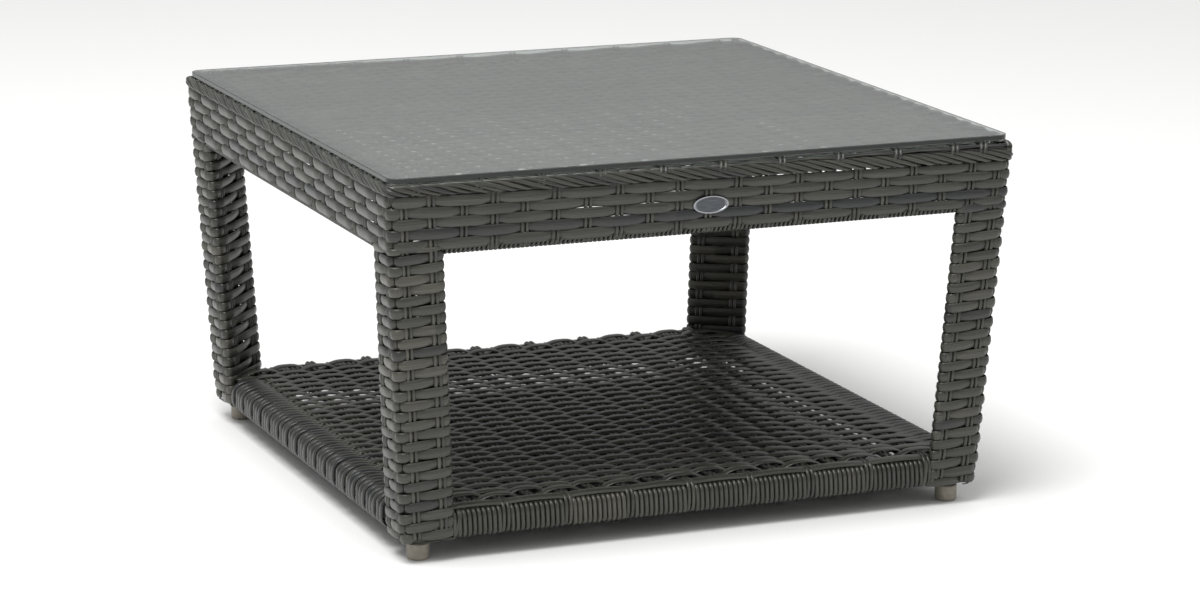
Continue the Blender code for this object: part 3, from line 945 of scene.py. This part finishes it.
class WICKER_OT_braid_border(bpy.types.Operator):
    """Braid the border: a rope round the table and a flat band over the top rails"""

    bl_idname = "wicker.braid_border"
    bl_label = "Braid Border"

    def execute(self, context):
        sizes = context.scene.wicker_sizes
        material = extruded_rattan(context.scene.wicker_colours)
        random = np.random.default_rng(11)
        ring = rounded_square(BORDER_REACH, BORDER_CORNER)
        pitch = ring.length / sizes.border_groups
        section = round_section(sizes.braid_diameter, 10)
        bundle = Bundle()
        # A strand of the rope: distance in pitches, depth, and height above the rows.
        rope = [
            (-0.42, 0.0115, 0.0122),
            (-0.18, 0.0080, 0.0142),
            (0.10, 0.0048, 0.0138),
            (0.45, 0.0030, 0.0112),
            (0.80, 0.0021, 0.0078),
            (1.12, 0.0026, 0.0046),
            (1.38, 0.0054, 0.0020),
            (1.58, 0.0098, 0.0008),
        ]
        for group in range(sizes.border_groups):
            shift = random.normal(0, 0.03)
            for strand in range(2):
                run = smooth_run(rope, 4)
                place = pitch * (run[:, 0] + group + shift + 0.5 * strand)
                depth = run[:, 1] + 0.0006 * strand + 0.0003 * random.normal()
                points, out = ring.at(place)
                plan = points - out * depth[:, None]
                height = np.minimum(rows_top(plan[:, 0]) + run[:, 2], GLASS_UNDERSIDE - GLASS_ROOM)
                path = np.column_stack([plan, height])
                away = np.column_stack([out, np.full(len(out), 0.2)])
                bundle.lay(path, away, section, random.uniform(0.15, 0.75))
        piece = bundle.piece("border_rope", material)
        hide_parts(*(f"top_braid_{side}" for side in SIDES))
        self.lay_band(sizes, ring, pitch, random, material)
        return {"FINISHED"}

    def lay_band(self, sizes, ring, pitch, random, material):
        """Flat strands along the top of the rails, and the stake pairs that cross them."""
        bundle = Bundle()
        top = GLASS_UNDERSIDE - 0.0030
        flat = flat_section(0.0100, 0.0016, 0.0006)
        section = round_section(sizes.stake_diameter)
        groups = sizes.border_groups
        steps = groups * 4
        # Four flat strands side by side, at these depths from the border's outline.
        for depth, shift in ((0.0080, 0.0), (0.0180, 0.5), (0.0268, 0.0), (0.0345, 0.5)):
            line = rounded_square(BORDER_REACH - depth, 0.0045)
            walk = np.linspace(0, line.length, steps, endpoint=False)
            points, out = line.at(walk)
            rise = np.abs(np.sin(np.pi * (walk / line.length * groups / 2 + shift)))
            z = top - 0.0042 + 0.0016 * rise
            path = np.column_stack([points, z])
            bundle.lay(path, UP, flat, random.uniform(0.3, 0.7), closed=True)
        # Two round strands, one above the other, close the gap over the rope; their darkest tone
        # is painted shade for the shadowed gap under the glass.
        walk = np.linspace(0, ring.length, steps, endpoint=False)
        points, out = ring.at(walk)
        for lift, bow in ((-0.0010, 0.0), (-0.0046, 0.35)):
            wave = 0.0008 * np.sin(2 * np.pi * (walk / ring.length * groups / 2 + bow))
            room = top - 0.0014 + lift - rows_top(points[:, 0]) - 0.0140
            depth = 0.0085 - 0.0030 * np.clip(room / 0.005, 0, 1)
            plan = points - out * depth[:, None]
            path = np.column_stack([plan, top - 0.0014 + lift + wave])
            bundle.lay(path, UP, round_section(0.0036), 0.0, closed=True)
        # A stake over the band: depth from the outline, and height.
        crossing = [
            (0.0040, top - 0.0110),
            (0.0032, top - 0.0060),
            (0.0046, top - 0.0030),
            (0.0086, top - 0.0004),
            (0.0140, top - 0.0002),
            (0.0230, top - 0.0008),
            (0.0290, top - 0.0020),
            (0.0330, top - 0.0060),
        ]
        for group in range(groups):
            # Along the front and the back only every second pair goes over.
            side = int((group * pitch + pitch) / ring.length * 4) % 4
            if side in (1, 3) and group % 2:
                continue
            for half in (-PAIR_HALF, PAIR_HALF):
                run = smooth_run(crossing, 3)
                slant = np.linspace(-0.005, 0.005, len(run))
                points, out = ring.at(pitch * group + 0.25 * pitch + half + slant)
                path = np.column_stack([points - out * run[:, :1], run[:, 1]])
                # The crossing pairs' low tones add painted shade to that gap.
                bundle.lay(path, (0.3, 0.3, 1.0), section, random.uniform(0.1, 0.5))
        bundle.piece("border_band", material)


def woven_sheet(bundle, rows, stakes, level, sizes, random, ends, swing):
    """Rows of weavers along X over stake pairs along Y, at a mean height.

    ends(row, y) gives the controls, as x and z, that lead a weaver in from the left.
    """
    weaver = flat_section(
        sizes.weaver_width * 1.13, sizes.weaver_thickness, sizes.weaver_crown, 10
    )
    last_row = len(rows) - 1
    for number, y in enumerate(rows):
        lead = ends(number, y)
        first, last = lead[-1][0], -lead[-1][0]
        # The two rows at each edge swing further, with none beyond to press them flat.
        height = swing * (2.0 if number in (0, 1, last_row - 1, last_row) else 1.0)
        stops, levels = [first], [0.0]
        for order, x in enumerate(stakes):
            if first + 0.006 < x < last - 0.006:
                stops.append(x)
                levels.append(height if (number + order) % 2 == 0 else -height)
        stops.append(last)
        levels.append(0.0)
        walk = samples_between(stops, 7)
        z = level + over_and_under(walk, stops, levels, hold=0.06, dwell=1.3)
        start = smooth_run(lead, 2)[:-1]
        finish = start[::-1] * (-1, 1)
        run = np.vstack([start, np.column_stack([walk, z]), finish])
        sway = 0.0012 * np.interp(
            np.linspace(0, 14, len(run)), np.arange(15), random.normal(0, 0.6, 15)
        )
        # Past the edges the strands gather in threes and are drawn narrower, and their tone is
        # darkened there as painted shade.
        beyond = ease((np.abs(run[:, 0]) - abs(first)) / 0.010)
        sway = sway + 0.0009 * (1 - number % 3) * beyond
        path = np.stack([run[:, 0], y + sway, run[:, 1]], 1)
        along = directions(path)
        out = np.stack([-along[:, 2], 0 * along[:, 0], along[:, 0]], 1)
        tone = 0.06 if random.random() < 0.12 else random.uniform(0.25, 0.8)
        # The tone past the edges is darkened as painted shade.
        bundle.lay(path, out, weaver, tone * (1 - 0.7 * beyond), 1 - 0.30 * beyond)


def sheet_stakes(name, rows, stakes, level, section, random, material, ends):
    """Stake pairs along Y, in and out of the rows of weavers, at a mean height.

    ends(number) gives the run of y and z that leads a pair in from the front.
    """
    bundle = Bundle()
    for number, x in enumerate(stakes):
        levels = [
            -STAKE_SWING if (row + number) % 2 == 0 else STAKE_SWING
            for row in range(len(rows))
        ]
        walk = samples_between(rows, 3)
        z = level + over_and_under(walk, rows, levels, hold=0.05)
        start = ends(number)
        run = np.vstack([start, np.column_stack([walk, z]), start[::-1] * (-1, 1)])
        for half in (-PAIR_HALF, PAIR_HALF):
            path = np.stack([np.full(len(run), x + half), run[:, 0], run[:, 1]], 1)
            along = directions(path)
            out = np.stack([0 * along[:, 0], -along[:, 2], along[:, 1]], 1)
            bundle.lay(path, out, section, random.uniform(0.2, 0.8))
    bundle.piece(name, material)


class WICKER_OT_weave_shelf(bpy.types.Operator):
    """Weave the shelf and wrap its strands over the rails"""

    bl_idname = "wicker.weave_shelf"
    bl_label = "Weave Shelf"

    def execute(self, context):
        sizes = context.scene.wicker_sizes
        material = extruded_rattan(context.scene.wicker_colours)
        random = np.random.default_rng(23)
        level = SHELF_TOP - 0.0025
        leg_edge = RAIL_HIGH.x
        half = -RAIL_LOW.y - 0.0215
        count = int(2 * half / sizes.row_pitch)
        rows = (np.arange(count) - (count - 1) / 2) * sizes.row_pitch
        # The pairs stand 8.5 mm off the middle.
        stakes = -0.0085 + sizes.shelf_stake_pitch * np.arange(-8, 9)
        outer, low, high = RAIL_LOW.y, RAIL_LOW.z, RAIL_HIGH.z

        def ends(number, y):
            """Rows beside a leg stop at its inner face; the others go round the rail."""
            if abs(y) > leg_edge - 0.004:
                inside = min(reach(level) * 2 - 0.068 - abs(y), reach(level) - 0.026)
                return [(-inside - 0.012, level - 0.001), (-inside, level)]
            bunch = 0.0009 * ((number % 3) - 1)
            return [
                (outer + 0.0335, low + 0.0020),
                (outer + 0.0215, low + 0.0014),
                (outer + 0.0085, low + 0.0022),
                (outer + 0.0019, low + 0.0080),
                (outer + 0.0011 + bunch, (low + high) / 2),
                (outer + 0.0023, high - 0.0072),
                (outer + 0.0085, high - 0.0002),
                (outer + 0.0185, level + 0.0016),
                (outer + 0.0285, level + 0.0016),
                (outer + 0.0365, level + 0.0006),
            ]

        bundle = Bundle()
        woven_sheet(bundle, rows, stakes, level, sizes, random, ends, 0.0025)
        piece = bundle.piece("shelf_weavers", material)
        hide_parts("shelf_weave", "shelf_wrap_left", "shelf_wrap_right")
        self.lay_stakes(rows, stakes, level, sizes, random, material)
        self.wind_rails(stakes, leg_edge, sizes, random, material)
        return {"FINISHED"}

    def lay_stakes(self, rows, stakes, level, sizes, random, material):
        """Stake pairs along Y; every second pair goes on over both long rails."""
        outer, low, high = RAIL_LOW.y, RAIL_LOW.z, RAIL_HIGH.z
        over_rail = smooth_run([
            (outer + 0.0285, low + 0.0026),
            (outer + 0.0135, low + 0.0022),
            (outer + 0.0045, low + 0.0062),
            (outer + 0.0022, (low + high) / 2),
            (outer + 0.0036, high - 0.0060),
            (outer + 0.0090, high + 0.0006),
            (outer + 0.0150, high + 0.0022),
            (outer + 0.0210, level + 0.0016),
        ], 3)[:-1]
        on_rail = smooth_run([(outer + 0.010, high - 0.003), (outer + 0.018, level)], 2)[:-1]
        section = round_section(sizes.stake_diameter)
        sheet_stakes(
            "shelf_stakes", rows, stakes, level - 0.0004, section, random, material,
            lambda number: on_rail if number % 2 else over_rail
        )

    def wind_rails(self, stakes, leg_edge, sizes, random, material):
        """Close windings round the front and back rails, and the ribbon along them."""
        radius = sizes.winding_diameter / 2
        low, high = RAIL_LOW, RAIL_HIGH
        bundle = Bundle()
        around = rounded_rectangle(
            low.y + radius, high.y - radius, low.z + radius, high.z - radius, 0.0070
        )
        section = round_section(sizes.winding_diameter, 10)
        over_rail = stakes[::2]
        gates = [-leg_edge + 0.002, *over_rail, leg_edge - 0.002]
        ribbon = flat_section(0.0125, 0.0022, 0.0012)
        pitch = 0.0061
        gap = PAIR_HALF + sizes.stake_diameter / 2 + radius
        for turned in (0, 2):
            for first, last in zip(gates[:-1], gates[1:]):
                begin = first + (gap if first in over_rail else 0.0)
                end = last - (gap if last in over_rail else 0.0)
                turns = max(2, round((end - begin) / pitch) + 1)
                turn = np.linspace(0.25, turns + 0.1, turns * 24)
                points, out = around.at(turn * around.length)
                x = begin + (end - begin) * (turn - 0.66) / (turns - 1)
                path = quarter_turns(np.column_stack([x, points]), turned)
                away = quarter_turns(np.column_stack([0 * x, out]), turned)
                bundle.lay(path, away, section, random.uniform(0.2, 0.8))
            walk = samples_between(gates, 8)
            lift = np.zeros(len(walk))
            for first, last in zip(gates[:-1], gates[1:]):
                inside = (walk >= first) & (walk <= last)
                share = (walk[inside] - first) / (last - first)
                lift[inside] = np.sin(np.pi * share) ** 0.8
            y = low.y + 0.0125 + 0 * walk
            z = high.z + (0.0008 if turned == 0 else -0.0034) + 0.0018 * lift
            path = quarter_turns(np.stack([walk, y, z], 1), turned)
            out = quarter_turns(np.array([[0.0, -0.25, 0.97]]), turned)
            bundle.lay(path, out, ribbon, 0.55)
        piece = bundle.piece("rail_windings", material)
        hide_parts("shelf_wrap_front", "shelf_wrap_back")


class WICKER_OT_weave_top(bpy.types.Operator):
    """Weave the panel under the glass"""

    bl_idname = "wicker.weave_top"
    bl_label = "Weave Top Panel"

    def execute(self, context):
        sizes = context.scene.wicker_sizes
        # Under the glass the strands are painted paler, as painted light for the lamp light that
        # the glass keeps from them.
        colours = context.scene.wicker_colours
        material = extruded_rattan(colours, "extruded_pe_rattan_with_bloom", PAINTED_LIGHT_UNDER_GLASS)
        random = np.random.default_rng(31)
        level = TOP_WEAVE_TOP - 0.0030
        half = TOP_WEAVE_HALF - 0.002
        count = int(2 * half / sizes.row_pitch)
        rows = (np.arange(count) - (count - 1) / 2) * (2 * half / count)
        stakes = np.arange(-9, 10) * TOP_STAKE_PITCH

        def ends(number, y):
            return [(-half - 0.010, level + 0.0012), (-half, level + 0.0008)]

        bundle = Bundle()
        woven_sheet(bundle, rows, stakes, level, sizes, random, ends, 0.0015)
        piece = bundle.piece("top_weavers", material)
        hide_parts("top_weave")
        section = round_section(sizes.stake_diameter, 6)
        sheet_stakes(
            "top_stakes", rows, stakes, level, section, random, material,
            lambda number: np.empty((0, 2))
        )
        return {"FINISHED"}


class WICKER_OT_finish_frame(bpy.types.Operator):
    """Give the welded frame, its inserts and glides, the badge and the glass their finishes"""

    bl_idname = "wicker.finish_frame"
    bl_label = "Finish Frame, Feet and Glass"

    def execute(self, context):
        colours = context.scene.wicker_colours
        finishes = {
            "glass_top": tempered_glass(colours),
            "glass_pad": clear_silicone(),
            "leg_insert": moulded_nylon("moulded_nylon_black", colour("#262423"), 0.5),
            "glide_": moulded_nylon("moulded_nylon_beige", colours.nylon, 0.55),
            "badge": stamped_stainless(),
        }
        coat = powder_coat(colours)
        for name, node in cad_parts.items():
            material = next((m for start, m in finishes.items() if name.startswith(start)), coat)
            node.data.materials.clear()
            node.data.materials.append(material)
        return {"FINISHED"}


class WICKER_OT_build_stage(bpy.types.Operator):
    """Set the pale floor, the soft studio light and the camera"""

    bl_idname = "wicker.build_stage"
    bl_label = "Build Stage"

    def execute(self, context):
        studio = context.scene.wicker_studio
        scene = context.scene
        scene.view_settings.view_transform = "Standard"
        self.lay_floor(scene)
        self.light(scene, studio)
        self.place_camera(scene)
        return {"FINISHED"}

    def lay_floor(self, scene):
        mesh = bpy.data.meshes.new("studio_floor")
        corners = [(-6, -6, 0), (6, -6, 0), (6, 6, 0), (-6, 6, 0)]
        mesh.from_pydata(corners, [], [(0, 1, 2, 3)])
        floor = bpy.data.objects.new("studio_floor", mesh)
        mesh.materials.append(studio_paper())
        scene.collection.objects.link(floor)

    def light(self, scene, studio):
        world = bpy.data.worlds.new("studio_light")
        world.use_nodes = True
        tree = world.node_tree
        background = tree.nodes["Background"]
        place = add_node(tree, "ShaderNodeTexCoord")
        direction = add_node(
            tree, "ShaderNodeSeparateXYZ", {"Vector": place.outputs["Generated"]}
        )
        # A studio that is brighter overhead than along its walls.
        levels = ((0.0, 0.20), (0.12, 0.30), (0.21, 0.56), (0.30, 0.57), (0.5, 0.52), (0.9, 0.95))
        stops = [(height, (level, level, level)) for height, level in levels]
        sky = ramp(tree, direction.outputs["Z"], stops)
        tree.links.new(sky, background.inputs["Color"])
        background.inputs["Strength"].default_value = studio.sky
        scene.world = world
        lamp = bpy.data.lights.new("key_light", "AREA")
        lamp.shape = "DISK"
        lamp.size = 3.2
        lamp.energy = studio.key
        key = bpy.data.objects.new("key_light", lamp)
        key.location = (-1.3, -0.9, 4.6)
        aim = Vector((0.0, 0.0, 0.25)) - key.location
        key.rotation_euler = aim.to_track_quat("-Z", "Y").to_euler()
        scene.collection.objects.link(key)

    def place_camera(self, scene):
        lens = bpy.data.cameras.new("camera")
        lens.sensor_width = 36.0
        lens.lens = 115.65
        camera = bpy.data.objects.new("camera", lens)
        azimuth, elevation, roll = math.radians(-22.505), math.radians(12.977), 0.0057
        distance = 4.894
        aim_height, aim_right, aim_down = 0.2372, 0.0237, 0.0300
        back = Vector((
            math.sin(azimuth) * math.cos(elevation),
            -math.cos(azimuth) * math.cos(elevation),
            math.sin(elevation),
        ))
        level_right = Vector((0, 0, 1)).cross(back).normalized()
        level_up = back.cross(level_right)
        right = level_right * math.cos(roll) + level_up * math.sin(roll)
        up = level_up * math.cos(roll) - level_right * math.sin(roll)
        target = Vector((0.0, 0.0, aim_height)) + right * aim_right - up * aim_down
        turn = Matrix((right, up, back)).transposed()
        camera.matrix_world = Matrix.Translation(target + back * distance) @ turn.to_4x4()
        scene.collection.objects.link(camera)
        scene.camera = camera


OPERATORS = (
    WICKER_OT_weave_legs,
    WICKER_OT_weave_aprons,
    WICKER_OT_braid_border,
    WICKER_OT_weave_shelf,
    WICKER_OT_weave_top,
    WICKER_OT_finish_frame,
    WICKER_OT_build_stage,
)


class WICKER_PT_table(bpy.types.Panel):
    """Lists the table's pieces and settings"""

    bl_idname = "WICKER_PT_table"
    bl_label = "Wicker Coffee Table"
    bl_space_type = "VIEW_3D"
    bl_region_type = "UI"
    bl_category = "Wicker Table"

    def draw(self, context):
        layout = self.layout
        for operator in OPERATORS:
            layout.operator(operator.bl_idname)
        for settings in SETTINGS:
            box = layout.box()
            group = getattr(context.scene, settings)
            for key in group.__annotations__:
                box.prop(group, key)


SETTINGS = {
    "wicker_sizes": StrandSizes,
    "wicker_colours": FinishColours,
    "wicker_studio": StudioSettings,
}
CLASSES = (*SETTINGS.values(), *OPERATORS, WICKER_PT_table)


def register():
    for each in CLASSES:
        bpy.utils.register_class(each)
    for name, group in SETTINGS.items():
        setattr(bpy.types.Scene, name, PointerProperty(type=group))


def unregister():
    for name in SETTINGS:
        delattr(bpy.types.Scene, name)
    for each in reversed(CLASSES):
        bpy.utils.unregister_class(each)


def main():
    register()
    bpy.ops.wicker.weave_legs()
    bpy.ops.wicker.weave_aprons()
    bpy.ops.wicker.braid_border()
    bpy.ops.wicker.weave_shelf()
    bpy.ops.wicker.weave_top()
    bpy.ops.wicker.finish_frame()
    bpy.ops.wicker.build_stage()


if __name__ == "__main__":
    main()
